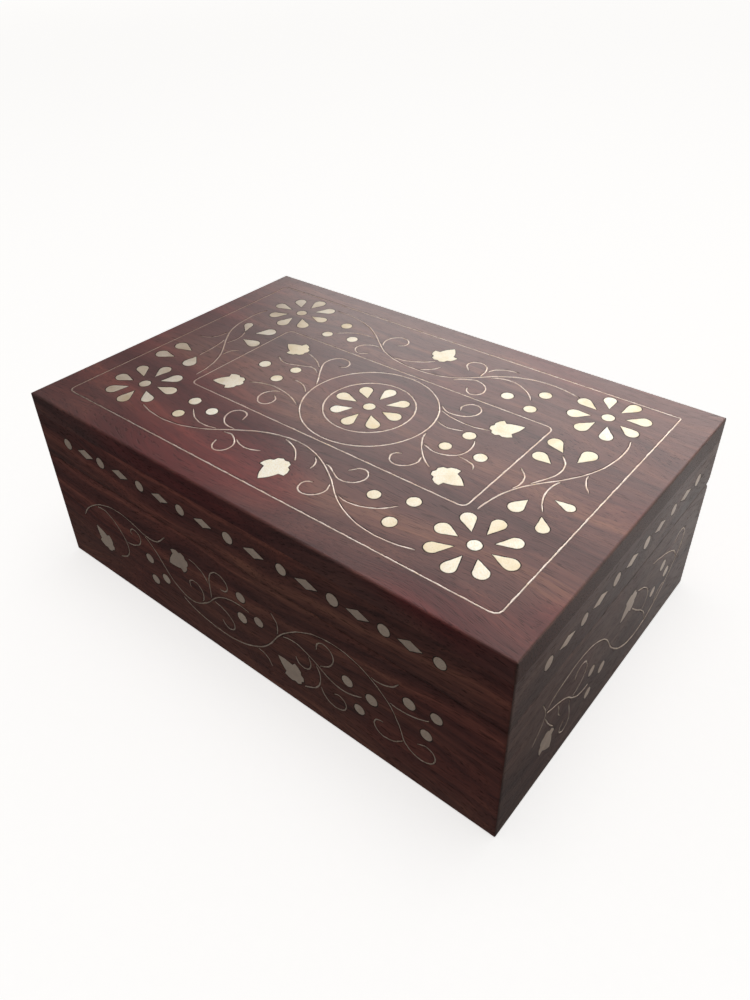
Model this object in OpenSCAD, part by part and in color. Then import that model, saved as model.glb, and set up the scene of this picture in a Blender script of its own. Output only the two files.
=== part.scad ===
// Hinged rosewood box with brass wire and bone inlay.
// Origin at the centre of the underside; +X to the right, +Y to the back, +Z up.
// The lid turns about a brass hinge axis that lies in a V groove along the back of the seam.

/* [Box] */
// Length of the box, left to right
box_l = 152; // [125:1:190]
// Depth of the box, front to back
box_d = 100; // [84:1:125]
// Height of the closed box
box_h = 56; // [47:1:70]
// Height of the lid, from the seam to its top face
lid_h = 19.7; // [17:0.1:25]
// Thickness of the walls and of the lid's rim
wall_t = 8; // [7:0.1:10]
// Rounding of the outer edges
edge_r = 0.6; // [0.3:0.1:1]
// Rounding of the two edges that meet at the seam
seam_r = 0.25; // [0.1:0.05:0.5]

/* [Boards] */
// Thickness of the lid's top board
top_t = 6; // [4:0.5:8]
// Thickness of the base board
base_t = 5; // [3:0.5:7]
// Width of the rebate under the walls that holds the base board
rebate_w = 4; // [3:0.5:5]
// Gap around the base board in its rebate
board_gap = 0.1; // [0.05:0.05:0.3]

/* [Lining] */
// Thickness of the velvet-covered cards
lining_t = 1; // [0.6:0.1:1.5]
// Height of bare wood left above the wall lining
lining_margin = 2; // [1:0.5:5]

/* [Inlay] */
// Width of the brass wire
wire_w = 0.4; // [0.3:0.05:0.6]
// Depth of the brass wire
wire_depth = 1.2; // [0.8:0.1:2]
// Thickness of the bone plates
bone_t = 1.2; // [0.8:0.1:2]
// Glue gap around each inlaid piece
pocket_gap = 0.06; // [0.03:0.01:0.1]
// Radius of a round bone piece
dot_r = 1.65; // [1.2:0.05:2]
// How much the pieces cut by hand differ from each other
hand_cut = 0.05; // [0:0.01:0.1]
// Length of a petal
petal_l = 6.2; // [5:0.1:7.5]
// Width of a petal
petal_w = 3.6; // [3:0.1:4.4]
// Distance from a flower's centre to the tips of its petals
flower_r = 4.2; // [3.5:0.1:5]
// Length of a lozenge on the lid's rim
lozenge_l = 6.6; // [5:0.1:7]
// Width of a lozenge on the lid's rim
lozenge_w = 2.9; // [2.5:0.1:3.6]
// Distance from the lid's top face to the middle of the row on a long rim
row_drop = 11.6; // [10.5:0.1:13]
// Distance from the lid's top face to the middle of the row on an end rim
end_row_drop = 12.3; // [10.5:0.1:13]
// Radius of the medallion's outer ring
ring_r = 18.1; // [16:0.1:19]
// Radius of the medallion's inner ring
ring_inner_r = 12.1; // [11.5:0.1:13]

/* [Hinges] */
// Length of a hinge
hinge_l = 22; // [18:1:30]
// Distance from the end of the box to the middle of a hinge
hinge_inset = 32; // [24:1:45]
// Radius of the hinge barrel
barrel_r = 1.75; // [1.4:0.05:2.1]
// Radius of the hinge pin
pin_r = 0.7; // [0.6:0.05:0.8]
// Thickness of a hinge leaf
leaf_t = 0.8; // [0.6:0.1:1]
// Width of the wood left between a hinge leaf and the inside of the box
leaf_land = 0.5; // [0.3:0.1:1]
// Angle at which the two faces of the V groove meet and stop the lid
stop_angle = 105; // [95:1:115]
// Radius of a hinge screw's shank
screw_r = 0.85; // [0.7:0.05:1]
// Length of a hinge screw
screw_l = 7; // [5:0.5:8]

/* [Hidden] */
$fn = 48;

// ---- Derived sizes ----
wood = "#4b2a24";
brass = "#d8b27a";
bone = "#eadfbc";
velvet = "#5c1220";

seam_z = box_h - lid_h;
rim_top_z = box_h - top_t;
row_z = box_h - row_drop;
end_row_z = box_h - end_row_drop;
axis_y = box_d / 2 - barrel_r;
inner_l = box_l - 2 * wall_t;
inner_d = box_d - 2 * wall_t;
far = 2 * (box_l + box_d + box_h);
over = 1;             // how far a cutter reaches past the face it cuts
arc_steps = 3;        // flats that round an eased edge
turn_per_step = 20;   // degrees that a wire turns between two of its points
running_gap = 0.05;   // radial clearance of the pin in the lid's knuckle, and of a screw in the wood
groove_gap = 0.1;     // distance from the hinge axis to the bottom of the V groove
leaf_seat = 0.02;     // depth left under a hinge leaf in its mortise
barrel_gap = 0.25;    // clearance round the barrel in the wood
knuckle_gap = 0.1;    // clearance between two knuckles

// ---- Outlines ----
function unit(v) = v / norm(v);
function right_of(v) = [v[1], -v[0]];
function span(list, a, b) = [for (i = [a:1:b]) list[i]];
function backwards(list) = [for (i = [len(list) - 1:-1:0]) list[i]];
function arc(centre, r, from, to, steps) =
    [for (i = [0:steps]) let (a = from + (to - from) * i / steps) centre + r * [cos(a), sin(a)]];

// A rectangle with its own rounding at the lower and the upper corners
function eased_rect(w, low, high, r_low, r_high) = concat(
    arc([w / 2 - r_low, low + r_low], r_low, -90, 0, arc_steps),
    arc([w / 2 - r_high, high - r_high], r_high, 0, 90, arc_steps),
    arc([-w / 2 + r_high, high - r_high], r_high, 90, 180, arc_steps),
    arc([-w / 2 + r_low, low + r_low], r_low, 180, 270, arc_steps));

// An outline moved outwards by a gap, corner by corner
function grown(outline, gap) = let (n = len(outline)) [
    for (i = [0:n - 1]) let (
        before = right_of(unit(outline[i] - outline[(i + n - 1) % n])),
        after = right_of(unit(outline[(i + 1) % n] - outline[i])),
        way = unit(before + after))
    outline[i] + way * gap / max(0.45, way * before)];

// A drop with its point at the origin and its round end along +X
function drop(l, w) = let (r = w / 2, c = l - r, half = 180 - acos(r / c))
    concat([[0, 0]], arc([c, 0], r, -half, half, 12));

// A rhombus whose long axis lies along X
function rhombus(l, w) = [[l / 2, 0], [0, w / 2], [-l / 2, 0], [0, -w / 2]];

// A factor near 1 that differs from piece to piece, for what is cut by hand
function by_hand(i) = 1 + hand_cut * sin(137 * i);

// A vine leaf 1 long and 1 wide, with its tip along +X and a notch where its stalk meets it
LEAF_HALF = [[0.5, 0], [0.4, 0.1], [0.28, 0.2], [0.15, 0.27], [0.04, 0.31], [0.02, 0.5], [-0.12, 0.49],
    [-0.26, 0.42], [-0.31, 0.3], [-0.43, 0.27], [-0.5, 0.12]];
LEAF_NOTCH = -0.46;
function leaf(l, w) = let (half = [for (p = LEAF_HALF) [p[0] * l, p[1] * w]])
    concat(half, [[LEAF_NOTCH * l, 0]], [for (i = [len(half) - 1:-1:1]) [half[i][0], -half[i][1]]]);

// An outline turned by an angle and moved to a place
function placed(outline, place, angle) = [for (p = outline)
    place + [p[0] * cos(angle) - p[1] * sin(angle), p[0] * sin(angle) + p[1] * cos(angle)]];

// ---- Wires ----
// A wire is a list of points that it passes through, with more steps where it turns more.
function at(points, i) = i < 0 ? 2 * points[0] - points[1]
    : i >= len(points) ? 2 * points[len(points) - 1] - points[len(points) - 2] : points[i];
function between(a, b, c, d, t) =
    0.5 * (2 * b + (c - a) * t + (2 * a - 5 * b + 4 * c - d) * t * t + (3 * b - a - 3 * c + d) * t * t * t);
function turn(a, b) = acos(max(-1, min(1, unit(a) * unit(b))));
function course(points, i) = at(points, i + 1) - at(points, i - 1);
function steps_of(points, i) = max(1, ceil(turn(course(points, i), course(points, i + 1)) / turn_per_step));
function path(points) = concat(
    [for (i = [0:len(points) - 2]) let (n = steps_of(points, i)) for (j = [0:n - 1])
        between(at(points, i - 1), points[i], points[i + 1], at(points, i + 2), j / n)],
    [points[len(points) - 1]]);

// The distance from a point to a line of points, and to the nearest of several lines
function to_segment(p, a, b) = let (run = b - a, t = max(0, min(1, (p - a) * run / (run * run))))
    norm(p - a - t * run);
function to_line(p, line) = min([for (i = [0:len(line) - 2]) to_segment(p, line[i], line[i + 1])]);
function to_lines(p, lines) = min([far, for (line = lines) to_line(p, line)]);

// A branch is cut back at both ends to where it leaves the wires that were laid before it.
// It also stays out of a disc, given by its centre and radius, such as the medallion.
NO_DISC = [[0, 0], -far];
wire_spacing = wire_w + 3 * pocket_gap;
function is_clear(p, done, disc) = min(to_lines(p, done), norm(p - disc[0]) - disc[1]) >= wire_spacing;
function cut_end(line, done, disc, inner, outer) = (inner < 0 || inner >= len(line)) ? [] : let (
    steps = [for (t = [0.05:0.05:0.9]) line[inner] + t * (line[outer] - line[inner])],
    free = [for (p = steps) if (is_clear(p, done, disc)) p])
    len(free) == 0 ? [] : [free[0]];
function cut_back(line, done, disc) = let (
    clear = [for (i = [0:len(line) - 1]) if (is_clear(line[i], done, disc)) i],
    a = min(clear),
    b = max(clear))
    concat(cut_end(line, done, disc, a - 1, a), span(line, a, b),
        backwards(cut_end(line, done, disc, b + 1, b)));
function laid(wires, disc = NO_DISC, i = 0, done = []) =
    i == len(wires) ? done : laid(wires, disc, i + 1, concat(done, [cut_back(path(wires[i]), done, disc)]));

// The outline of a wire: its line, moved half a width to each side
function step_of(line, i) = unit(line[i + 1] - line[i]);
function heading(line, i) = unit(step_of(line, max(i - 1, 0)) + step_of(line, min(i, len(line) - 2)));
function side(line, half) = [for (i = [0:len(line) - 1]) line[i] + right_of(heading(line, i)) * half];
function ribbon(line) = concat(side(line, wire_w / 2), backwards(side(line, -wire_w / 2)));

// ---- Pattern of the lid, drawn for a lid of 152 x 100 ----
lid_field = [152, 100];

FRONT_VINE = [
    [[-46.3, -35], [-42, -36.1], [-36, -36.5], [-30, -35.5], [-24, -32.9], [-18, -28.8], [-12, -25.3],
     [-6, -23.4], [0, -23], [5, -24.1], [10, -26.4], [15, -29.7], [20, -33.8], [25, -36.6], [30, -38.2],
     [35, -38.7], [40, -38.3], [44.3, -37.2]],
    [[-33.8, -28.5], [-31, -30.7], [-28, -31.7], [-25, -31.8], [-22, -30.9], [-20, -29.6]],
    [[-18, -28.3], [-20.4, -28.6], [-22.6, -27.9], [-24.5, -26], [-25, -23.5], [-23.9, -21.7], [-22, -21.2],
     [-20.4, -22.2], [-19.8, -24.4]],
    [[-19.5, -30.9], [-17.2, -30.6], [-15, -31.7], [-13.4, -33.5], [-13.2, -35.7], [-14.4, -37.4],
     [-16.2, -37.7], [-17.7, -36.5], [-18.3, -34.6]],
    [[-14.3, -31.5], [-12.6, -32.3], [-10.4, -32.7], [-8.2, -32.3], [-6.3, -31.3]],
    [[-7.6, -24.2], [-5, -23.9], [-2.5, -24.6], [0, -25.8], [1.8, -27.5], [3.1, -29.2]],
    [[5.5, -24.7], [7, -26], [8, -27.7], [8.2, -29.4]],
    [[9.2, -25.6], [11.2, -26], [13.2, -27.1], [15.3, -28.2], [17.6, -28.4], [19.8, -27.3], [21, -25.2],
     [20.6, -23.1], [18.9, -22], [17.1, -22.6], [15.8, -24.5]],
    [[15.8, -31], [16.7, -33], [16.3, -35.3], [14.6, -37], [12.5, -37.4], [10.9, -36.5], [10.4, -34.7],
     [11.1, -33.4], [12.4, -32.9]],
    [[19.3, -33], [22.4, -33.7], [25.5, -33.4], [28.5, -32.2], [31, -30.4], [32.9, -28]]];

BACK_VINE = [
    [[-42.2, 38.6], [-37, 38.5], [-32, 37.6], [-27, 35.8], [-22, 32.6], [-18, 29.4], [-14, 26.4], [-9, 24.3],
     [-3, 23.3], [3, 23.4], [8, 24.5], [12, 26.5], [16, 30], [20, 33.6], [25, 36.4], [30, 37.8], [35, 38],
     [39, 37.5], [42.6, 36.5]],
    [[-32.6, 26.8], [-29.8, 29.2], [-26.5, 30.8], [-23, 31.2], [-19.8, 30.9]],
    [[-15.3, 27.6], [-17, 29.6], [-17.7, 31.9], [-17.1, 34.3], [-15.4, 36], [-13.2, 36.1], [-11.4, 34.7],
     [-11.4, 32.6], [-13, 31.5]],
    [[-15.4, 27.3], [-18, 27.5], [-20.5, 26.4], [-22, 24.2], [-21.5, 22.2], [-19.8, 21.2], [-18.1, 21.5],
     [-16.9, 22.7]],
    [[-10, 25], [-6, 25.4], [-2.5, 27], [0, 28.9], [1.2, 30.2]],
    [[0.4, 23.8], [2.5, 25.2], [3.8, 26.8], [4.4, 28.3]],
    [[15.9, 30.3], [15.9, 33], [15, 35.6], [13, 37], [10.8, 36.6], [9.5, 35], [10, 33.1], [11.7, 31.5]],
    [[16.3, 33.6], [17.2, 35.8], [19.2, 37.4], [21.4, 38.2], [23.4, 38.4]],
    [[11.2, 24.8], [13.4, 26.6], [15.6, 27.9], [18, 27.9], [20.3, 26.5], [21.4, 24.1], [20.8, 22.1],
     [19, 21.2], [17.3, 22], [16.4, 23.6]],
    [[18.6, 31.6], [20.8, 32.8], [23.5, 33.4], [26.2, 33.1], [29, 31.9], [31.5, 30], [33.3, 27.8]]];

RIGHT_VINE = [
    [[61.9, 25.6], [62.7, 21.5], [62.6, 17], [61.7, 12], [59.8, 7.3], [56.8, 2.5], [53.5, -1.5], [50.6, -5.5],
     [48.5, -10], [47.4, -14.5], [47, -18.3]],
    [[51.9, 10.6], [53.7, 8.4], [54.6, 5.4], [54.2, 2.2], [52.8, -0.8], [51.2, -3.8]],
    [[60.2, 7.9], [60.5, 5.6], [61.6, 3.3], [63.3, 1.2]],
    [[56.6, 1.9], [55.7, -1.5], [55.9, -5], [56.9, -8], [58.5, -10.6]],
    [[46.8, 0.4], [48.6, -1.3], [49.6, -3.5], [49.6, -5.8], [48.8, -8.2]]];

LEFT_VINE = [
    [[-60.9, 25.6], [-61.8, 21.5], [-61.7, 17], [-60.9, 12], [-59.1, 7.6], [-56, 3.2], [-53, -0.5],
     [-50.5, -4], [-48.7, -8], [-47.7, -12], [-47.4, -15.8]],
    [[-55.4, 10.6], [-54.3, 8], [-54.1, 5], [-55, 1.8]],
    [[-59.6, 8], [-59.8, 4.8], [-61.6, 1.9], [-64.6, 0.6]],
    [[-57.4, 5], [-56.2, 1.4], [-55.6, -2.6], [-55.4, -7.6]],
    [[-48.4, 1.4], [-49.9, -0.4], [-50.4, -3.6]]];

MEDALLION_LEFT_VINE = [
    [[-16.9, 0.4], [-18.5, 3], [-20.5, 5.8], [-22.3, 8.7], [-23.2, 11.3], [-22.6, 14], [-20.8, 15.6],
     [-18.5, 15.7], [-16.8, 14.3], [-16.7, 12.5], [-18.1, 11.4]],
    [[-30.7, 12.3], [-27.5, 11.2], [-24.5, 9.5], [-21.6, 7.2]],
    [[-36.1, 5.7], [-34, 4.4], [-31, 4.2], [-28, 5.3], [-25, 6.6], [-22.8, 6.4], [-20.4, 5]],
    [[-23.7, -1.3], [-21, -1.6], [-18.6, -2.5], [-16.5, -4.3]],
    [[-32.2, -9.6], [-29.5, -8.2], [-26, -7.4], [-22, -7.6], [-18, -8.6], [-15.5, -9.7], [-13.9, -10.5]],
    [[-21.6, -7.9], [-23.7, -9.2], [-25, -11.3], [-24.9, -13.6], [-23.4, -15.4], [-21.3, -15.6], [-20, -14],
     [-20.2, -12], [-21.8, -10.7]]];

MEDALLION_RIGHT_VINE = [
    [[16.6, 11.8], [18.6, 10.5], [21.2, 10.2], [24, 11.1], [26, 13.2], [26.1, 15.5], [24.9, 17], [23, 17.3],
     [21.5, 16.2], [20.9, 14.4], [21.6, 12.8]],
    [[17.9, 9.9], [21.2, 8.8], [25, 8.3], [29, 8.4], [32.5, 9.4]],
    [[19.9, 5.2], [21.6, 4.5], [23.8, 4.2], [25.8, 4.7], [27.4, 5.4]],
    [[20.7, -0.9], [21.3, -3], [22.8, -5.6], [25, -8.3], [27.4, -10.6], [29.8, -12]],
    [[25.7, -9.4], [26.5, -11.8], [25.8, -14], [24, -15.7], [22, -16], [20.3, -15], [19.6, -13.3],
     [20.2, -12.1], [21.3, -11.5]],
    [[23.2, -5.2], [26, -6.2], [29, -6.1], [31.8, -4.6], [33.2, -2], [33.1, 1], [32.2, 3.4]],
    [[32.4, -4.3], [34.6, -4.5], [36.6, -5], [37.7, -5.8], [38.3, -6.9]]];

// Centre and turn of each flower
MEDALLION = [1.9, 0.1];
FLOWER_BACK_LEFT = [[-50.7, 30.8], 0];
FLOWER_BACK_RIGHT = [[52.8, 32.2], 22.5];
FLOWER_FRONT_LEFT = [[-54.7, -27.8], 11];
FLOWER_FRONT_RIGHT = [[53.1, -28.6], -3];

// Point, direction, length and width of each single petal on the left and right bands
DROPS = [
    [[51.4, 11.6], 142, 6.4, 3.8], [[55.9, 9.9], 77, 6.4, 3.9], [[51.3, 6], 161, 5.6, 3.7],
    [[58.6, -5.5], -8, 5.3, 2.7], [[54, -8.9], -102, 5.7, 3.7], [[59.2, -12.2], -58, 5.6, 3.1],
    [[-55.7, 11], 122, 5.8, 2.8], [[-52.2, 11.9], 48, 6.3, 3.9], [[-52.4, 7], -1, 6.4, 3.8],
    [[-59.2, -7.2], 177, 6.8, 3.9], [[-60.4, -12.6], 194, 6.4, 3.8], [[-55.3, -8.8], -72, 5.8, 4]];

// Centre, direction of the tip, length and width of each leaf
LID_LEAVES = [
    [[1.4, -35], -92, 9.3, 8], [[1.5, 35.2], 88, 8.7, 7.9], [[35.7, 12.6], 46, 8.8, 7.6],
    [[35.8, -12.7], -8, 8.9, 7.7], [[-35.4, 12.3], 172, 8.2, 7.4], [[-37.4, -12.8], 212, 9, 7.6]];

LID_BERRIES = [
    [-33.3, 32.3], [-26.2, 26.5], [-34.4, 24.7], [35.1, 32.3], [27.3, 26.2], [35.3, 24],
    [-36.5, -25.6], [-29, -26.4], [-35.3, -32.3], [34.8, -24.7], [26.2, -28], [34.8, -33.4],
    [-26.7, 2.7], [-36.2, 0.1], [-27.8, -3.8], [29.9, 4.4], [27.8, -2.8], [37.1, -1.8]];

// Centres and half sizes of the two border wires, the rounding of three corners, and that of the back right
// one. The ends of the outer wire meet in its back right corner, which is bent sharper than the others.
OUTER_BORDER = [[-0.8, 0.1], [68.1, 42.6], 1.8, 0.5];
INNER_BORDER = [[-0.3, 0.1], [44.8, 19.6], 1.7, 1.7];

// ---- Pattern of the walls, drawn for a long wall of 152 x 36.3 and an end of 100 x 36.3 ----
wall_field = 36.3;
LONG_VINE = [
    [[-22.8, 11.6], [-20, 10], [-16, 8.7], [-12, 8], [-8, 7.7], [-4, 7.9], [0, 8.8], [4, 10.5], [8, 13.1],
     [11, 16.5], [13.4, 20.2], [16, 23.1], [20, 26.3], [25, 29], [30, 30.1], [35, 29.9], [40, 28.2],
     [44, 25.5], [47.7, 21.8], [50.1, 17.2], [51.4, 13.2], [53.3, 10.9], [56, 10], [58.6, 10.7], [59.9, 12.8],
     [59.3, 15], [57.3, 15.8], [55.2, 14.8]],
    [[-64.7, 19.3], [-62.5, 22.3], [-59, 25.1], [-55, 27.3], [-50, 28.9], [-45, 29.2], [-40, 28.2],
     [-36, 26.8], [-32.5, 26.4], [-29.3, 27.5], [-26, 30.6]],
    [[-38, 27.6], [-34, 25.3], [-31, 22.2], [-28.6, 18.6], [-26, 15.4], [-22.6, 13.1], [-18.8, 12.3],
     [-15.5, 13.5], [-12.3, 15.7], [-10, 18.2], [-7.8, 20.3], [-5, 21.9], [-2, 22.7], [1, 22.9], [4, 22.5]],
    [[-57, 25.8], [-52.6, 26.3], [-48.6, 23.6], [-45.8, 19.6], [-45.2, 15.6], [-47.2, 12.5], [-50.4, 10.8]],
    [[-45.4, 18.8], [-42.4, 19.4], [-39.4, 20.9], [-37.9, 23.2], [-38.4, 25.3], [-40.4, 26], [-41.9, 24.7],
     [-41.5, 23.4]],
    [[-10.3, 18.4], [-10.2, 21.3], [-10.1, 24.5], [-9.3, 27.4], [-7.3, 29.2], [-5, 29.2], [-3.3, 27.7],
     [-3.2, 25.6], [-4.5, 24.4], [-6, 24.3]],
    [[-10.4, 22.8], [-11.3, 25], [-13, 26.8], [-15.2, 27.9], [-17, 28.2]],
    [[-15.4, 13.6], [-13.9, 15.8], [-13.6, 18.4], [-14.9, 20.3], [-17, 20.8], [-18.6, 19.6], [-18.4, 17.8]],
    [[-9.6, 18.2], [-6.8, 17.6], [-4.2, 16.2], [-2.6, 14], [-3, 11.9], [-4.7, 11], [-6.4, 11.7], [-7.1, 13]],
    [[5.2, 11], [7.6, 10.6], [9.3, 9.3], [10.2, 7.4]],
    [[12.1, 27.5], [13.6, 25.4], [13.8, 22.8], [13.3, 20.4]],
    [[14.4, 21.2], [17.2, 22.2], [20.5, 22.3], [23.4, 21.1], [26, 19.7], [29, 17.7], [31.6, 16.6],
     [34.2, 16.3], [36.8, 16.9], [39.6, 18.2]],
    [[26.6, 19.4], [29.3, 21], [31.1, 23.2], [31.5, 25.6], [30.4, 27.5], [28.5, 28.1], [26.8, 27],
     [26.3, 24.8]],
    [[23.2, 21.1], [24.1, 18.7], [23.6, 16.3], [21.9, 15.2], [20.1, 15.8], [19.2, 17.5]],
    [[25.4, 19.9], [26.7, 17.4], [26.9, 14.6], [26.2, 12], [24.4, 10], [21.4, 8.2]],
    [[26.8, 12.6], [27.7, 10.4], [29.4, 8.7], [31.6, 8.2], [33.8, 9], [34.7, 10.9], [34.1, 12.7],
     [32.5, 13.4], [31.1, 12.8]],
    [[41.4, 27.4], [44, 27], [46.4, 27.5], [48.5, 28.7], [50, 30.5]],
    [[46.8, 22.8], [49.7, 22.5], [52.5, 22.7], [55.5, 23.6], [58, 24.8]],
    [[51.6, 12.7], [49, 10.4], [46, 9.5], [44, 10.3], [43.1, 12.2], [43.8, 14], [45.7, 14.5]]];
LONG_LEAVES = [[[-56.9, 14.3], 128, 9, 7], [[-22.2, 24.8], 214, 9, 7.2], [[16.8, 11.2], 148, 9.2, 7.4]];
LONG_BERRIES = [
    [-35.2, 18.4], [-29.3, 14.2], [-34.6, 11], [1.6, 26.1], [1.1, 18.8], [7.2, 21.2],
    [35.5, 20.7], [42.5, 19.6], [38.8, 13.4], [52.8, 26.5], [59.8, 27.2], [57.4, 19.8]];

END_VINE = [
    [[-35.6, 30], [-34.3, 27.4], [-33.7, 24.6], [-35.2, 21.8], [-38, 18.7]],
    [[-33.9, 25.4], [-31, 24.2], [-28, 23], [-25, 21.5], [-22.4, 19.6], [-20, 17.1], [-17.4, 15.1],
     [-14.4, 14], [-11.6, 13.8]],
    [[-33.4, 25.9], [-31.6, 27.3], [-28.9, 28.3], [-25.6, 28.9], [-22, 29.5], [-18, 29.4], [-14, 28.7],
     [-10.4, 27.1], [-7, 24.9], [-4, 21.9], [-1.4, 17.8], [1, 14.9], [5, 11.3], [10, 8.5], [16, 7.3], [22, 8],
     [28, 10.8], [33, 15], [36.6, 19.4], [38.6, 23.6], [38.4, 27.2], [36.2, 29.4], [33.2, 29.2], [32, 27.2]],
    [[-27.8, 22.8], [-26.9, 20.4], [-26.6, 18.2], [-25.6, 16.6]],
    [[-34, 24.2], [-33, 22.6], [-31.8, 20.4], [-30.4, 18.2], [-28.4, 15.8]],
    [[-20.9, 17.9], [-21.2, 15.8], [-20.4, 13.2], [-19.8, 10.6], [-20.6, 8.4], [-22.4, 7.6], [-24, 8.8],
     [-24, 10.8], [-22.8, 11.8]],
    [[-20.2, 17.6], [-17.6, 18.6], [-15.2, 20.6], [-14.6, 23.2], [-16, 25.6], [-18.4, 26.3], [-20.2, 25],
     [-20.2, 23.2]],
    [[8.9, 22.1], [12.4, 18.7], [16.4, 15.4], [19.6, 12.2], [21.4, 8.4]],
    [[10.4, 26.8], [14.2, 25], [17.4, 22.4], [19, 19.4], [18.6, 16.6], [16.9, 14.4]],
    [[17.6, 30.2], [20.4, 29.7], [23.2, 28.6], [26.8, 27.3], [30.4, 25.5], [33, 23.9], [35.2, 21.6],
     [36.4, 18.8]],
    [[26.4, 9.6], [26.6, 12.4], [28.6, 14.4], [31, 14.2]]];
END_LEAVES = [[[-30.5, 12.4], -62, 9, 6.8], [[5.6, 25.2], 216, 9, 7]];
END_BERRIES = [[-11, 17.9], [-4.7, 13.4], [-10.8, 9.9], [26.3, 23.6], [22.8, 17], [30.3, 18.7]];

// Centres of the lozenges and dots along a rim, by turns, starting and ending with a dot
LONG_ROW = [-63, -55, -48.5, -40.2, -32.2, -24.2, -16.6, -8.4, 0.2,
    8.8, 17.4, 24.9, 32.4, 39.4, 46.2, 52.8, 60];
END_ROW = [-36.4, -29, -21.8, -14.8, -7, 0.6, 8.2, 15.4, 23.2, 30.4, 38];

// ---- Solids of the inlay ----
// Each piece lies in the XY plane under a face at z = 0. With cut set, it is the pocket for that piece.
module plate(outline, depth, cut) {
    reach = cut ? over : 0;
    translate([0, 0, -depth])
        linear_extrude(depth + reach) polygon(cut ? grown(outline, pocket_gap) : outline);
}

module dot(place, r, cut) {
    grow = cut ? pocket_gap : 0;
    reach = cut ? over : 0;
    translate([place[0], place[1], -bone_t]) cylinder(r = r + grow, h = bone_t + reach);
}

module wires(lists, cut, disc = NO_DISC) {
    for (line = laid(lists, disc)) plate(ribbon(line), wire_depth, cut);
}

module ring(r, cut) {
    grow = cut ? pocket_gap : 0;
    reach = cut ? over : 0;
    place = medallion_disc()[0];
    line_r = r * shrink(lid_scale);
    translate([place[0], place[1], -wire_depth]) difference() {
        cylinder(r = line_r + wire_w / 2 + grow, h = wire_depth + reach);
        translate([0, 0, -over]) cylinder(r = line_r - wire_w / 2 - grow, h = wire_depth + reach + 2 * over);
    }
}

module border(spec, cut) {
    grow = cut ? pocket_gap : 0;
    reach = cut ? over : 0;
    half = moved(spec[1], lid_scale);
    place = moved(spec[0], lid_scale);
    half_w = wire_w / 2 + grow;
    translate([place[0], place[1], -wire_depth]) difference() {
        linear_extrude(wire_depth + reach) polygon(border_line(half, spec, half_w));
        translate([0, 0, -over]) linear_extrude(wire_depth + reach + 2 * over)
            polygon(border_line(half, spec, -half_w));
    }
}
function border_line(half, spec, outwards) = let (
    far_corner = half + [outwards, outwards],
    r = spec[2] + outwards,
    r_back_right = spec[3] + outwards,
    c = far_corner - [r, r])
    concat(
        arc([c[0], -c[1]], r, -90, 0, arc_steps),
        arc(far_corner - [r_back_right, r_back_right], r_back_right, 0, 90, arc_steps),
        arc([-c[0], c[1]], r, 90, 180, arc_steps),
        arc(-c, r, 180, 270, arc_steps));

module flower(spec, cut) {
    s = shrink(lid_scale);
    place = moved(spec[0], lid_scale);
    dot(place, dot_r * s, cut);
    for (k = [0:7]) {
        angle = 45 * k + spec[1];
        petal = drop(s * petal_l * by_hand(k + spec[0][0]), s * petal_w * by_hand(2 * k + spec[0][1]));
        plate(placed(petal, place + s * flower_r * [cos(angle), sin(angle)], angle), bone_t, cut);
    }
}

module drops(cut) {
    s = shrink(lid_scale);
    for (d = DROPS) plate(placed(drop(s * d[2], s * d[3]), moved(d[0], lid_scale), d[1]), bone_t, cut);
}

module leaves(list, scale, cut) {
    s = shrink(scale);
    for (l = list) plate(placed(leaf(s * l[2], s * l[3]), moved(l[0], scale), l[1]), bone_t, cut);
}

module berries(list, scale, cut) {
    for (p = list) dot(moved(p, scale), dot_r * shrink(scale) * by_hand(p[0]), cut);
}

// The lozenges or the dots of one rim; odd places hold lozenges
module rim_lozenges(row, scale, z, cut) {
    s = min(1, scale);
    for (i = [1:2:len(row) - 1])
        plate(placed(rhombus(s * lozenge_l * by_hand(i), s * lozenge_w * by_hand(row[i])),
            [row[i] * scale, z], 0), bone_t, cut);
}

module rim_dots(row, scale, z, cut) {
    for (i = [0:2:len(row) - 1]) dot([row[i] * scale, z], dot_r * min(1, scale) * by_hand(row[i]), cut);
}

// Scales of the patterns on the lid, the long walls and the ends. Where a face is smaller than it was
// drawn, its bone pieces shrink by the smaller of the two scales, so that they stay clear of each other.
lid_scale = [box_l / lid_field[0], box_d / lid_field[1]];
long_scale = [lid_scale[0], seam_z / wall_field];
end_scale = [lid_scale[1], seam_z / wall_field];
function moved(p, s) = [p[0] * s[0], p[1] * s[1]];
function moved_all(wires, s) = [for (w = wires) [for (p = w) moved(p, s)]];
function shrink(s) = min(1, s[0], s[1]);
function medallion_disc() = [moved(MEDALLION, lid_scale), ring_r * shrink(lid_scale)];

// Places on the six faces
module on_top() translate([0, 0, box_h]) children();
module on_front() translate([0, -box_d / 2, 0]) rotate([90, 0, 0]) children();
module on_right() translate([box_l / 2, 0, 0]) rotate([90, 0, 90]) children();
module on_back() translate([0, box_d / 2, 0]) rotate([90, 0, 180]) children();
module on_left() translate([-box_l / 2, 0, 0]) rotate([90, 0, 270]) children();

module lid_inlay(cut) {
    border(OUTER_BORDER, cut);
    border(INNER_BORDER, cut);
    ring(ring_r, cut);
    ring(ring_inner_r, cut);
    flower([MEDALLION, 0], cut);
    for (f = [FLOWER_BACK_LEFT, FLOWER_BACK_RIGHT, FLOWER_FRONT_LEFT, FLOWER_FRONT_RIGHT]) flower(f, cut);
    drops(cut);
    leaves(LID_LEAVES, lid_scale, cut);
    berries(LID_BERRIES, lid_scale, cut);
    for (v = [FRONT_VINE, BACK_VINE, RIGHT_VINE, LEFT_VINE]) wires(moved_all(v, lid_scale), cut);
    for (v = [MEDALLION_LEFT_VINE, MEDALLION_RIGHT_VINE])
        wires(moved_all(v, lid_scale), cut, medallion_disc());
}

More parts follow.
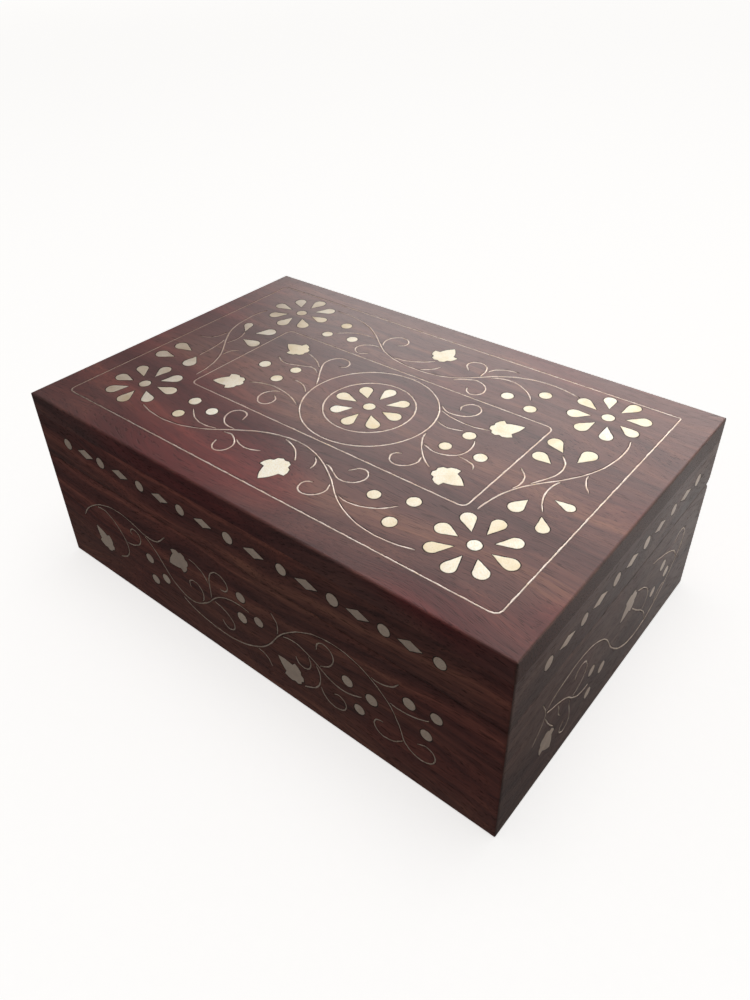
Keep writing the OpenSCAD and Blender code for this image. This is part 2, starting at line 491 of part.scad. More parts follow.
module long_rim_inlay() {
    rim_lozenges(LONG_ROW, lid_scale[0], row_z, true);
    rim_dots(LONG_ROW, lid_scale[0], row_z, true);
}

module end_rim_inlay() {
    rim_lozenges(END_ROW, lid_scale[1], end_row_z, true);
    rim_dots(END_ROW, lid_scale[1], end_row_z, true);
}

module long_inlay() {
    wires(moved_all(LONG_VINE, long_scale), true);
    leaves(LONG_LEAVES, long_scale, true);
    berries(LONG_BERRIES, long_scale, true);
}

module end_inlay() {
    wires(moved_all(END_VINE, end_scale), true);
    leaves(END_LEAVES, end_scale, true);
    berries(END_BERRIES, end_scale, true);
}

// ---- Boards ----
groove = barrel_r * tan(stop_angle / 2);   // how far the V groove reaches above and below the seam

// The outer form of the lid and of the case, with eased edges and half of the V groove along the back
module outer_form(low, high, r_low, r_high, side_profile) {
    intersection() {
        translate([0, 0, low]) linear_extrude(high - low)
            polygon(eased_rect(box_l, -box_d / 2, box_d / 2, edge_r, edge_r));
        translate([-box_l, 0, 0]) rotate([90, 0, 90]) linear_extrude(2 * box_l) polygon(side_profile);
        translate([0, box_d, 0]) rotate([90, 0, 0]) linear_extrude(2 * box_d)
            polygon(eased_rect(box_l, low, high, r_low, r_high));
    }
}

module lid_form() {
    outer_form(seam_z, box_h, seam_r, edge_r, concat(
        arc([box_d / 2 - edge_r, box_h - edge_r], edge_r, 0, 90, arc_steps),
        arc([-box_d / 2 + edge_r, box_h - edge_r], edge_r, 90, 180, arc_steps),
        arc([-box_d / 2 + seam_r, seam_z + seam_r], seam_r, 180, 270, arc_steps),
        [[axis_y - groove_gap, seam_z], [box_d / 2, seam_z + groove]]));
}

module case_form() {
    outer_form(0, seam_z, edge_r, seam_r, concat(
        [[box_d / 2, seam_z - groove], [axis_y - groove_gap, seam_z]],
        arc([-box_d / 2 + seam_r, seam_z - seam_r], seam_r, 90, 180, arc_steps),
        arc([-box_d / 2 + edge_r, edge_r], edge_r, 180, 270, arc_steps),
        arc([box_d / 2 - edge_r, edge_r], edge_r, 270, 360, arc_steps)));
}

// The plan of one mitred board: a long board lies along X and an end board along Y, on the low side
module long_plan() polygon([[-box_l / 2, -box_d / 2], [box_l / 2, -box_d / 2],
    [inner_l / 2, -inner_d / 2], [-inner_l / 2, -inner_d / 2]]);
module end_plan() polygon([[-box_l / 2, -box_d / 2], [-inner_l / 2, -inner_d / 2],
    [-inner_l / 2, inner_d / 2], [-box_l / 2, box_d / 2]]);

module rim_board() {
    intersection() {
        lid_form();
        translate([0, 0, seam_z]) linear_extrude(rim_top_z - seam_z) children();
    }
}

module wall_board() {
    difference() {
        intersection() {
            case_form();
            linear_extrude(seam_z) children();
        }
        rebate();
    }
}

module rebate() {
    translate([0, 0, base_t / 2 - over / 2])
        cube([inner_l + 2 * rebate_w, inner_d + 2 * rebate_w, base_t + over], center = true);
}

module lid_top_panel() {
    color(wood) difference() {
        intersection() {
            lid_form();
            translate([0, 0, rim_top_z + top_t / 2 + over / 2])
                cube([2 * box_l, 2 * box_d, top_t + over], center = true);
        }
        on_top() lid_inlay(true);
    }
}

module lid_front_rim() color(wood) difference() {
    rim_board() long_plan();
    on_front() long_rim_inlay();
}
module lid_left_rim() color(wood) difference() {
    rim_board() end_plan();
    on_left() end_rim_inlay();
}
module lid_right_rim() color(wood) difference() {
    rim_board() mirror([1, 0, 0]) end_plan();
    on_right() end_rim_inlay();
}
module lid_back_rim() color(wood) difference() {
    rim_board() mirror([0, 1, 0]) long_plan();
    on_back() long_rim_inlay();
    at_hinges() { barrel_recess(); leaf_mortise(1); screw_holes(1); }
}

module front_wall() color(wood) difference() {
    wall_board() long_plan();
    on_front() long_inlay();
}
module left_wall() color(wood) difference() {
    wall_board() end_plan();
    on_left() end_inlay();
}
module right_wall() color(wood) difference() {
    wall_board() mirror([1, 0, 0]) end_plan();
    on_right() end_inlay();
}
module back_wall() color(wood) difference() {
    wall_board() mirror([0, 1, 0]) long_plan();
    on_back() long_inlay();
    at_hinges() { barrel_recess(); leaf_mortise(-1); screw_holes(-1); }
}

module base_board() {
    lip = 2 * (rebate_w - board_gap);
    color(wood) translate([0, 0, base_t / 2])
        cube([inner_l + lip, inner_d + lip, base_t], center = true);
}

// ---- Lining ----
module base_lining() color(velvet) translate([0, 0, base_t + lining_t / 2])
    cube([inner_l - 2 * board_gap, inner_d - 2 * board_gap, lining_t], center = true);

module lid_lining() color(velvet) translate([0, 0, rim_top_z - lining_t / 2])
    cube([inner_l - 2 * board_gap, inner_d - 2 * board_gap, lining_t], center = true);

module wall_lining() {
    low = base_t + lining_t;
    tall = seam_z - lining_margin - low;
    middle_z = low + tall / 2;
    long = inner_l;
    short = inner_d - 2 * (lining_t + board_gap);
    color(velvet) for (s = [-1, 1]) {
        translate([0, s * (inner_d - lining_t) / 2, middle_z]) cube([long, lining_t, tall], center = true);
        translate([s * (inner_l - lining_t) / 2, 0, middle_z]) cube([lining_t, short, tall], center = true);
    }
}

// ---- Hinges ----
leaf_w = wall_t - barrel_r - leaf_land;   // from the hinge axis to the inner edge of a leaf
knuckle_l = (hinge_l - 2 * knuckle_gap) / 3;
flat_start = barrel_r + barrel_gap;   // from the hinge axis to the flat of a leaf
screw_x = hinge_l / 2 - 4;      // from the middle of a hinge to a screw
screw_y = -(flat_start + leaf_w) / 2;
head_r = min(screw_r + leaf_t, (leaf_w - flat_start) / 2 - board_gap);   // the countersink in a leaf
head_sink = 0.05;               // how far a screw head lies below the leaf's face
head_rim = head_r - head_sink * (head_r - screw_r) / leaf_t;
slot_w = 0.4;                   // width of the slot in a screw head
slot_depth = 0.35;              // depth of the slot, from the leaf's face

hinge_x = box_l / 2 - hinge_inset;
module at_left_hinge() translate([-hinge_x, axis_y, seam_z]) children();
module at_right_hinge() translate([hinge_x, axis_y, seam_z]) children();
module at_hinges() { at_left_hinge() children(); at_right_hinge() children(); }

module along_x(r, l) rotate([0, 90, 0]) cylinder(r = r, h = l, center = true);
module barrel_recess() along_x(barrel_r + barrel_gap, hinge_l + 2 * barrel_gap);

// Up is 1 for the lid's side of a hinge and -1 for the case's side
module leaf_mortise(up) {
    tall = leaf_t + leaf_seat + over;
    translate([0, -(leaf_w + board_gap) / 2, up * (tall / 2 - over)])
        cube([hinge_l + 2 * board_gap, leaf_w + board_gap, tall], center = true);
}

module at_screws(up) for (s = [-1, 1]) translate([s * screw_x, screw_y, 0])
    rotate([up > 0 ? 180 : 0, 0, 0]) children();

// A screw points along -Z with its head's face just under z = 0
module screw() {
    difference() {
        rotate_extrude() polygon([[0, -head_sink], [head_rim, -head_sink], [screw_r, -leaf_t],
            [screw_r, 2 * screw_r - screw_l], [0, -screw_l]]);
        cube([2 * head_r, slot_w, 2 * slot_depth], center = true);
    }
}
module screw_holes(up) at_screws(up) translate([0, 0, -screw_l - leaf_seat])
    cylinder(r = screw_r + running_gap, h = screw_l + over);

// The knuckles that one leaf owns: the case's leaf has the two outer ones, the lid's leaf the middle one
function knuckles(up) = up > 0 ? [0] : [-1, 1];

module hinge_leaf(up) {
    color(brass) difference() {
        union() {
            // the flat of the leaf stops short of the other leaf's knuckles
            translate([0, -(leaf_w + flat_start) / 2, up * leaf_t / 2])
                cube([hinge_l, leaf_w - flat_start, leaf_t], center = true);
            for (k = knuckles(up)) translate([k * (knuckle_l + knuckle_gap), 0, 0]) {
                translate([0, -flat_start / 2, up * leaf_t / 2])
                    cube([knuckle_l, flat_start, leaf_t], center = true);
                along_x(barrel_r, knuckle_l);
            }
        }
        along_x(up > 0 ? pin_r + running_gap : pin_r, hinge_l + 2 * over);
        at_screws(up) {
            translate([0, 0, -leaf_t]) cylinder(r1 = screw_r, r2 = head_r, h = leaf_t);
            translate([0, 0, -leaf_t - over]) cylinder(r = screw_r, h = leaf_t + over);
        }
    }
}

module hinge_pin() color(brass) along_x(pin_r, hinge_l);

// ---- Inlay of the lid's top ----
module outer_border_wire() color(brass) on_top() border(OUTER_BORDER, false);
module inner_border_wire() color(brass) on_top() border(INNER_BORDER, false);
module medallion_outer_ring() color(brass) on_top() ring(ring_r, false);
module medallion_inner_ring() color(brass) on_top() ring(ring_inner_r, false);
module medallion_flower() color(bone) on_top() flower([MEDALLION, 0], false);
module flower_back_left() color(bone) on_top() flower(FLOWER_BACK_LEFT, false);
module flower_back_right() color(bone) on_top() flower(FLOWER_BACK_RIGHT, false);
module flower_front_left() color(bone) on_top() flower(FLOWER_FRONT_LEFT, false);
module flower_front_right() color(bone) on_top() flower(FLOWER_FRONT_RIGHT, false);
module lid_drop_petals() color(bone) on_top() drops(false);
module lid_leaves() color(bone) on_top() leaves(LID_LEAVES, lid_scale, false);
module lid_berries() color(bone) on_top() berries(LID_BERRIES, lid_scale, false);
module lid_vine(list, disc = NO_DISC) color(brass) on_top() wires(moved_all(list, lid_scale), false, disc);
module vine_front() lid_vine(FRONT_VINE);
module vine_back() lid_vine(BACK_VINE);
module vine_left() lid_vine(LEFT_VINE);
module vine_right() lid_vine(RIGHT_VINE);
module vine_medallion_left() lid_vine(MEDALLION_LEFT_VINE, medallion_disc());
module vine_medallion_right() lid_vine(MEDALLION_RIGHT_VINE, medallion_disc());

// ---- Inlay of the lid's rim ----
module long_lozenges() color(bone) rim_lozenges(LONG_ROW, lid_scale[0], row_z, false);
module end_lozenges() color(bone) rim_lozenges(END_ROW, lid_scale[1], end_row_z, false);
module long_dots() color(bone) rim_dots(LONG_ROW, lid_scale[0], row_z, false);
module end_dots() color(bone) rim_dots(END_ROW, lid_scale[1], end_row_z, false);
module front_rim_lozenges() on_front() long_lozenges();
module back_rim_lozenges() on_back() long_lozenges();
module left_rim_lozenges() on_left() end_lozenges();
module right_rim_lozenges() on_right() end_lozenges();
module front_rim_dots() on_front() long_dots();
module back_rim_dots() on_back() long_dots();
module left_rim_dots() on_left() end_dots();
module right_rim_dots() on_right() end_dots();

// ---- Inlay of the walls ----
module long_wall_vine() color(brass) wires(moved_all(LONG_VINE, long_scale), false);
module end_wall_vine() color(brass) wires(moved_all(END_VINE, end_scale), false);
module long_wall_leaves() color(bone) leaves(LONG_LEAVES, long_scale, false);
module end_wall_leaves() color(bone) leaves(END_LEAVES, end_scale, false);
module long_wall_berries() color(bone) berries(LONG_BERRIES, long_scale, false);
module end_wall_berries() color(bone) berries(END_BERRIES, end_scale, false);
module front_wall_vine() on_front() long_wall_vine();
module back_wall_vine() on_back() long_wall_vine();
module left_wall_vine() on_left() end_wall_vine();
module right_wall_vine() on_right() end_wall_vine();
module front_wall_leaves() on_front() long_wall_leaves();
module back_wall_leaves() on_back() long_wall_leaves();
module left_wall_leaves() on_left() end_wall_leaves();
module right_wall_leaves() on_right() end_wall_leaves();
module front_wall_berries() on_front() long_wall_berries();
module back_wall_berries() on_back() long_wall_berries();
module left_wall_berries() on_left() end_wall_berries();
module right_wall_berries() on_right() end_wall_berries();

// ---- Hinges in place ----
module left_hinge_case_leaf() at_left_hinge() hinge_leaf(-1);
module left_hinge_lid_leaf() at_left_hinge() hinge_leaf(1);
module left_hinge_pin() at_left_hinge() hinge_pin();
module right_hinge_case_leaf() at_right_hinge() hinge_leaf(-1);
module right_hinge_lid_leaf() at_right_hinge() hinge_leaf(1);
module right_hinge_pin() at_right_hinge() hinge_pin();
module hinge_screws_case() color(brass) at_hinges() at_screws(-1) screw();
module hinge_screws_lid() color(brass) at_hinges() at_screws(1) screw();

lid_top_panel();
lid_front_rim();
lid_back_rim();
lid_left_rim();
lid_right_rim();
lid_lining();
outer_border_wire();
inner_border_wire();
medallion_outer_ring();
medallion_inner_ring();
medallion_flower();
flower_back_left();
flower_back_right();
flower_front_left();
flower_front_right();
lid_drop_petals();
lid_leaves();
lid_berries();
vine_front();
vine_back();
vine_left();
vine_right();
vine_medallion_left();
vine_medallion_right();
front_rim_lozenges();
back_rim_lozenges();
left_rim_lozenges();
right_rim_lozenges();
front_rim_dots();
back_rim_dots();
left_rim_dots();
right_rim_dots();
front_wall();
back_wall();
left_wall();
right_wall();
base_board();
base_lining();
wall_lining();
front_wall_vine();
back_wall_vine();
left_wall_vine();
right_wall_vine();
front_wall_leaves();
back_wall_leaves();
left_wall_leaves();
right_wall_leaves();
front_wall_berries();
back_wall_berries();
left_wall_berries();
right_wall_berries();
left_hinge_case_leaf();
left_hinge_lid_leaf();
left_hinge_pin();
right_hinge_case_leaf();
right_hinge_lid_leaf();
right_hinge_pin();
hinge_screws_case();
hinge_screws_lid();
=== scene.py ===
import math

import bpy
import numpy as np
from mathutils import Matrix, Vector


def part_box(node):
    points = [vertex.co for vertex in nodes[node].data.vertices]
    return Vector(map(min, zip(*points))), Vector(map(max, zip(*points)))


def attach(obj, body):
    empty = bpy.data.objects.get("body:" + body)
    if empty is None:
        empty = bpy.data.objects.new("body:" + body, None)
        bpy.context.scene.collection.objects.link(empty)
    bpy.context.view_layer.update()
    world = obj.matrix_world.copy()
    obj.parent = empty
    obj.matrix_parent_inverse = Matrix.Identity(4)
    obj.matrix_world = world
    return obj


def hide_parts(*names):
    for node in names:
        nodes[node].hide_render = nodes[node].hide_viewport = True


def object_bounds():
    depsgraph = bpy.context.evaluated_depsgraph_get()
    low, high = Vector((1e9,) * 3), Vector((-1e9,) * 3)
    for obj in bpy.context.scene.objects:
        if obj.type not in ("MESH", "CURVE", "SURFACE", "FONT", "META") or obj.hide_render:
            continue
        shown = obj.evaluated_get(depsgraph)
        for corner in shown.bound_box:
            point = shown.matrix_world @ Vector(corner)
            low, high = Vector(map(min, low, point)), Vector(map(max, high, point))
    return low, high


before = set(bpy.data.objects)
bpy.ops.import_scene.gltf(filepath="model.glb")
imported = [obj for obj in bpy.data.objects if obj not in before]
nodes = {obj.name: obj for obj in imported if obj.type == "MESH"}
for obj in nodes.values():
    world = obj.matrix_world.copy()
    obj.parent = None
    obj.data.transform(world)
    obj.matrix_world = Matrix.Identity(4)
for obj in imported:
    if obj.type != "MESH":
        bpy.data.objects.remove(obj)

cad_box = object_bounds()

# ---- Boards of the case ----
# Four mitred walls and a base board of sheesham, an Indian rosewood, sawn flat and planed.
# They are glued at the mitres, then oiled and waxed: the surface is satin and the pores stay open.


class Shade:
    """One output of a shader node. Sums, differences and products of it add Math nodes."""

    def __init__(self, finish, socket):
        self.finish = finish
        self.socket = socket

    def _with(self, operation, *values):
        """A Math node on these values."""
        return self.finish.node("Math", {"operation": operation}, dict(enumerate(values)))

    def __add__(self, other):
        return self._with("ADD", self, other)

    def __sub__(self, other):
        return self._with("SUBTRACT", self, other)

    def __rsub__(self, other):
        return self._with("SUBTRACT", other, self)

    def __mul__(self, other):
        return self._with("MULTIPLY", self, other)

    def __abs__(self):
        return self._with("ABSOLUTE", self)

    __radd__ = __add__
    __rmul__ = __mul__

    def greater(self, other):
        """The greater of the two at each point."""
        return self._with("MAXIMUM", self, other)

    def ramp(self, low, high):
        """0 at low, 1 at high, a smooth rise between them and level beyond them."""
        sockets = {"Value": self, "From Min": low, "From Max": high}
        return self.finish.node("MapRange", {"interpolation_type": "SMOOTHSTEP"}, sockets)


class Finish:
    """A material, or the room round the box, whose nodes are added one by one."""

    def __init__(self, name, is_room=False):
        kept_in = bpy.data.worlds if is_room else bpy.data.materials
        self.block = kept_in.new(name)
        self.block.use_nodes = True
        self.tree = self.block.node_tree
        self.tree.nodes.clear()

    def node(self, kind, settings=None, sockets=None, output=0):
        """Adds a node of this kind, makes its settings, fills or links its sockets, and gives one output.
        A ramp's stops are pairs of a place and a colour."""
        node = self.tree.nodes.new("ShaderNode" + kind)
        for name, value in (settings or {}).items():
            if name == "stops":
                band = node.color_ramp.elements
                while len(band) < len(value):
                    band.new(1.0)
                for element, (place, colour) in zip(band, value):
                    element.position = place
                    element.color = colour
            else:
                setattr(node, name, value)
        for name, value in (sockets or {}).items():
            if isinstance(value, Shade):
                self.tree.links.new(value.socket, node.inputs[name])
            else:
                node.inputs[name].default_value = value
        return Shade(self, node.outputs[output]) if node.outputs else None

    def place(self, turn=0.0, shift=(0.0, 0.0, 0.0)):
        """Where a point lies on the object, in millimetres, turned about the upright and shifted."""
        here = self.node("TexCoord", output="Object")
        sockets = {"Vector": here, "Scale": (1000.0,) * 3, "Rotation": (0.0, 0.0, turn), "Location": shift}
        return self.node("Mapping", sockets=sockets)

    def vector(self, operation, *values, output=0):
        """One step of vector maths; output 1 is the one that holds a length."""
        return self.node("VectorMath", {"operation": operation}, dict(enumerate(values)), output)

    def noise(self, place, scale, detail=2.0, rough=0.5, output=0):
        """Even noise from 0 to 1; the scale counts its waves in a millimetre. Output 1 is three such noises
        as one colour."""
        sockets = {"Vector": place, "Scale": scale, "Detail": detail, "Roughness": rough}
        return self.node("TexNoise", sockets=sockets, output=output)

    def mixed(self, share, low, high, blend="MIX"):
        """The colour low where the share is 0 and high where it is 1. A Mix node has sockets for numbers,
        vectors and colours; counted from 0, those for colours are 6 and 7 going in and 2 coming out."""
        settings = {"data_type": "RGBA", "blend_type": blend, "clamp_factor": True}
        return self.node("Mix", settings, {0: share, 6: low, 7: high}, 2)

    def parts(self, vector):
        """The three numbers of a vector."""
        first = self.node("SeparateXYZ", sockets={0: vector})
        return [Shade(self, s) for s in first.socket.node.outputs]

    def done(self, values, bumps=()):
        """Fills the surface shader; each bump is a height and the depth in metres that it stands for."""
        normal = None
        for height, depth in bumps:
            sockets = {"Height": height, "Distance": depth, "Strength": 1.0}
            if normal:
                sockets["Normal"] = normal
            normal = self.node("Bump", sockets=sockets)
        if normal:
            values = {**values, "Normal": normal}
        shader = self.node("BsdfPrincipled", sockets=values)
        self.node("OutputMaterial", sockets={"Surface": shader})
        return self.block


def paint(red, green, blue):
    """A colour given as on a paint chart, 0 to 255, in the linear light that shaders use."""
    chart = np.array([red, green, blue]) / 255
    linear = np.where(chart < 0.04045, chart / 12.92, ((chart + 0.055) / 1.055) ** 2.4)
    return (*linear.tolist(), 1.0)


low, high = (np.array(c) * 1000 for c in cad_box)  # the box's corners, in millimetres
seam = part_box("lid_front_rim")[0].z * 1000
RUBBING = 0.9  # how far wear reaches from an edge, in millimetres
SEAM_SHADE_REACH = 1.1  # how far the painted shade of the seam between lid and case reaches, in millimetres


def sheesham(name, turn, shift, pith, ring, colours, red, red_at, gloss=0.14, polish=0.0):
    """Wood whose grain runs along X before the turn, and is moved by the shift so that no two boards match.
    The dark lines are growth rings, each about a ring's width across: their tone is noise over the distance
    from a pith line, which wanders. Streaks, fibres and pores are noise drawn out along the grain. Of the
    four colours the first is the darkest. Red is the share of wine-red heartwood, which lies in patches of
    a noise measured from red_at. A polished board has a coat of wax on its top face."""
    f = Finish(name)
    here = f.place()
    grain = f.place(turn, shift)
    drift = f.noise(f.vector("MULTIPLY", grain, (0.012, 0.03, 0.03)), 1.0, output=1)
    drift = f.vector("MULTIPLY", f.vector("SUBTRACT", drift, (0.5,) * 3), (0.0, 26.0, 26.0))
    bent = f.vector("ADD", grain, drift)
    from_pith = f.vector("SUBTRACT", f.vector("MULTIPLY", bent, (0.0, 1.0, 1.0)), (0.0, *pith))
    radius = f.vector("LENGTH", from_pith, output=1)
    rings = f.node("TexNoise", {"noise_dimensions": "1D"},
                   {"W": radius, "Scale": 1 / ring, "Detail": 4.0, "Roughness": 0.62})
    streaks = f.noise(f.vector("MULTIPLY", bent, (0.018, 0.55, 0.55)), 1.0, 4.0, 0.6)
    fibres = f.noise(f.vector("MULTIPLY", bent, (0.07, 2.1, 2.1)), 1.0, 3.0, 0.65)
    pores = f.noise(f.vector("MULTIPLY", bent, (0.24, 4.6, 4.6)), 1.0, 1.5).ramp(0.57, 0.68)
    tone = rings * 0.44 + streaks * 0.32 + fibres * 0.28
    stops = [(0.33, colours[0]), (0.45, colours[1]), (0.56, colours[2]), (0.70, colours[3])]
    wood = f.node("ValToRGB", {"stops": stops}, {0: tone})
    patch = f.noise(f.vector("MULTIPLY", f.vector("SUBTRACT", here, red_at), (0.014, 0.03, 0.03)), 1.0, 2.0)
    wood = f.mixed(patch.ramp(0.42, 0.66) * red, wood, paint(150, 50, 54), "COLOR")
    wood = f.mixed(pores * 0.5, wood, paint(22, 12, 12))
    x, y, z = f.parts(here)
    if polish:
        cut = abs(x).ramp(high[0] - 0.35, high[0] - 0.15)
        end_grain = f.mixed(fibres.ramp(0.3, 0.7), paint(54, 41, 38), paint(84, 64, 57))
        wood = f.mixed(cut * 0.85, wood, end_grain)
    at_end = abs(x).ramp(high[0] - RUBBING, high[0])
    at_side = abs(y).ramp(high[1] - RUBBING, high[1])
    at_level = z.ramp(high[2] - RUBBING, high[2]) + (low[2] + RUBBING - z).ramp(0.0, RUBBING)
    rubbed = at_end * at_side + at_level * at_end + at_level * at_side
    rubbed = rubbed * f.noise(here, 0.16, 3.0, 0.6).ramp(0.38, 0.62)
    wood = f.mixed(rubbed * 0.3, wood, paint(112, 72, 58))
    # painted shade: a dark band along the seam between lid and case, on the outer faces only
    outside = abs(x).ramp(high[0] - 0.4, high[0] - 0.1).greater(abs(y).ramp(high[1] - 0.4, high[1] - 0.1))
    seam_shade = (SEAM_SHADE_REACH - abs(z - seam)).ramp(0.0, SEAM_SHADE_REACH) * outside * f.noise(here, 0.3, 3.0).ramp(0.3, 0.7)
    wood = f.mixed(seam_shade * 0.5, wood, paint(24, 13, 12))
    sheen = f.noise(here, 0.05, 3.0, 0.6)
    rough = 0.36 + fibres * 0.16 + pores * 0.22 + sheen * 0.14 - rubbed * 0.10
    values = {"Base Color": wood, "Roughness": rough, "Specular IOR Level": gloss}
    if polish:
        on_face = z.ramp(high[2] - 0.5, high[2] - 0.1)
        values |= {"Coat Weight": on_face * polish * (0.75 + sheen * 0.4), "Coat Roughness": 0.40}
    return f.done(values, [(fibres - pores * 1.6, 0.00003), (streaks, 0.00002)])


def covered(node, material):
    """Puts a finish on a board or a fitting of the frame."""
    nodes[node].data.materials.clear()
    nodes[node].data.materials.append(material)


DARK_BOARD = [paint(56, 36, 35), paint(86, 54, 50), paint(108, 68, 59), paint(140, 94, 77)]
# a greyer copy of the same wood for the right end: painted sheen of the light glancing off it
SHEEN_GREY_BOARD = [paint(52, 40, 38), paint(74, 57, 53), paint(90, 70, 64), paint(110, 86, 78)]
ACROSS = -math.pi / 2
# board, name of its wood, turn, shift, pith, ring, colours, red, red_at, and gloss where it isn't the usual
for node, *look in (
    ("front_wall", "wall_front_sheesham", 0.0, (31, 0, 7), (-20, -34), 5.5, DARK_BOARD, 0.3, (40, 0, 0)),
    ("back_wall", "wall_back_sheesham", 0.0, (-84, 6, 3), (24, 70), 6.5, DARK_BOARD, 0.3, (5, 9, 3)),
    ("left_wall", "wall_left_sheesham", ACROSS, (12, 40, 0), (4, -50), 6.0, DARK_BOARD, 0.3, (9, 0, 31)),
    # the right end takes the greyer, less red copy of the wood: painted sheen
    ("right_wall", "wall_right_sheesham", ACROSS, (55, -30, 9), (-60, 44), 6.0,
     SHEEN_GREY_BOARD, 0.15, (0, 3, 60), 0.3),
    ("base_board", "base_sheesham", 0.0, (17, 71, 30), (-30, -40), 8.0, DARK_BOARD, 0.3, (0, 0, 0)),
):
    covered(node, sheesham(*look))

# ---- Boards of the lid ----
# A thicker top board of figured sheesham, glued over four mitred rims. Its face was planed and waxed
# after the inlay was in, so it has the closest polish of the box.

TOP_BOARD = [paint(54, 33, 32), paint(80, 50, 48), paint(96, 61, 56), paint(124, 83, 68)]
for node, *look in (
    ("lid_top_panel", "lid_top_sheesham", 0.0, (8, 13, 0), (-78, -52), 9.0,
     TOP_BOARD, 0.75, (-30, 20, 0), 0.2, 0.9),
    ("lid_front_rim", "rim_front_sheesham", 0.0, (3, 11, -4), (-30, -44), 6.0, DARK_BOARD, 0.35, (61, 0, 20)),
    ("lid_back_rim", "rim_back_sheesham", 0.0, (61, -8, 0), (20, -64), 6.5, DARK_BOARD, 0.3, (7, 5, 13)),
    ("lid_left_rim", "rim_left_sheesham", ACROSS, (22, 51, 4), (9, -60), 6.0, DARK_BOARD, 0.3, (3, 8, 2)),
    # the right end takes the greyer, less red copy of the wood: painted sheen
    ("lid_right_rim", "rim_right_sheesham", ACROSS, (70, -9, 2), (-40, 50), 6.0,
     SHEEN_GREY_BOARD, 0.15, (4, 2, 77), 0.3),
):
    covered(node, sheesham(*look))

# ---- Bone inlay ----
# Petals, drops, leaves, lozenges and dots sawn and filed by hand from buffalo bone about a millimetre
# thick, glued into pockets in the wood and scraped level with it.

AXES = np.eye(3)
# the way each face points, and the body that carries its wire
FACES = {
    "top": (AXES[2], "lid"),
    "front": (-AXES[1], "case"),
    "right": (AXES[0], "case"),
    "back": (AXES[1], "case"),
    "left": (-AXES[0], "case"),
}


def unit(vectors):
    """Vectors of the same directions, each of length 1."""
    return vectors / np.maximum(np.linalg.norm(vectors, axis=-1, keepdims=True), 1e-12)


def outlines(node, out):
    """The outlines of an inlay node's pieces on the face that looks out, each as points in order.
    An edge that only one of the face's triangles uses leads from one point of an outline to the next.
    Taking 1, 2, 4, 8... of these steps at a time numbers the points of all the outlines together."""
    mesh = nodes[node].data
    mesh.calc_loop_triangles()
    points = np.empty(len(mesh.vertices) * 3)
    mesh.vertices.foreach_get("co", points)
    corners = np.empty(len(mesh.loop_triangles) * 3, int)
    mesh.loop_triangles.foreach_get("vertices", corners)
    points = points.reshape(-1, 3)
    microns = np.round(points * 1e6)
    _, first, same = np.unique(microns, axis=0, return_index=True, return_inverse=True)
    points = points[first]
    sides = same.ravel()[corners].reshape(-1, 3)
    facing = np.cross(points[sides[:, 1]] - points[sides[:, 0]], points[sides[:, 2]] - points[sides[:, 0]])
    sides = sides[unit(facing) @ out > 0.9]
    steps = np.concatenate([sides[:, [0, 1]], sides[:, [1, 2]], sides[:, [2, 0]]])
    count = len(points)
    lone = ~np.isin(steps[:, 0] * count + steps[:, 1], steps[:, 1] * count + steps[:, 0])
    steps = steps[lone]
    every = np.arange(count)
    following = every.copy()
    following[steps[:, 0]] = steps[:, 1]
    doublings = 12  # enough for outlines of up to 4096 points
    # each outline starts at its lowest-numbered point
    start, leap = every.copy(), following.copy()
    for _ in range(doublings):
        start = np.minimum(start, start[leap])
        leap = leap[leap]
    # and its other points are put in order by how many steps they have left to the start
    left = (every != start).astype(int)
    leap = np.where(every == start, every, following)
    for _ in range(doublings):
        left = left + left[leap]
        leap = leap[leap]
    used = np.unique(steps[:, 0])
    order = used[np.lexsort((-left[used], start[used]))]
    cuts = np.flatnonzero(np.diff(start[order])) + 1
    return [points[o] for o in np.split(order, cuts)]


def walked(outline, pace):
    """A closed outline with its sides cut into equal steps no longer than the pace."""
    ahead = np.roll(outline, -1, axis=0) - outline
    counts = np.maximum(np.ceil(np.linalg.norm(ahead, axis=1) / pace).astype(int), 1)
    side = np.repeat(np.arange(len(outline)), counts)
    step = np.arange(counts.sum()) - np.repeat(np.cumsum(counts) - counts, counts)
    return outline[side] + ahead[side] * (step / counts[side])[:, None]


def sideways(line, out, closed=True):
    """At each point of a line on a face, the direction in the face to the line's right."""
    if closed:
        ahead = unit(np.roll(line, -1, axis=0) - line) + unit(line - np.roll(line, 1, axis=0))
    else:
        ahead = np.gradient(line, axis=0)
    return np.cross(unit(ahead), out)


def ripple(along, seed, waves):
    """A slow wobble of about one unit: three sines of the distance along, out of step with each other."""
    phases = np.random.default_rng(seed).uniform(0, 2 * math.pi, 3)
    return sum(np.sin(2 * math.pi * along * w + p) for w, p in zip(waves, phases)) / 1.7


def grid_faces(rows, columns, closed_rows):
    """The four-cornered faces of a grid of points whose columns run round, row after row."""
    last = rows if closed_rows else rows - 1
    row, column = np.meshgrid(np.arange(last), np.arange(columns), indexing="ij")
    next_row, next_column = (row + 1) % rows, (column + 1) % columns
    faces = [row * columns + column, row * columns + next_column,
             next_row * columns + next_column, next_row * columns + column]
    return np.stack(faces, axis=-1).reshape(-1, 4)


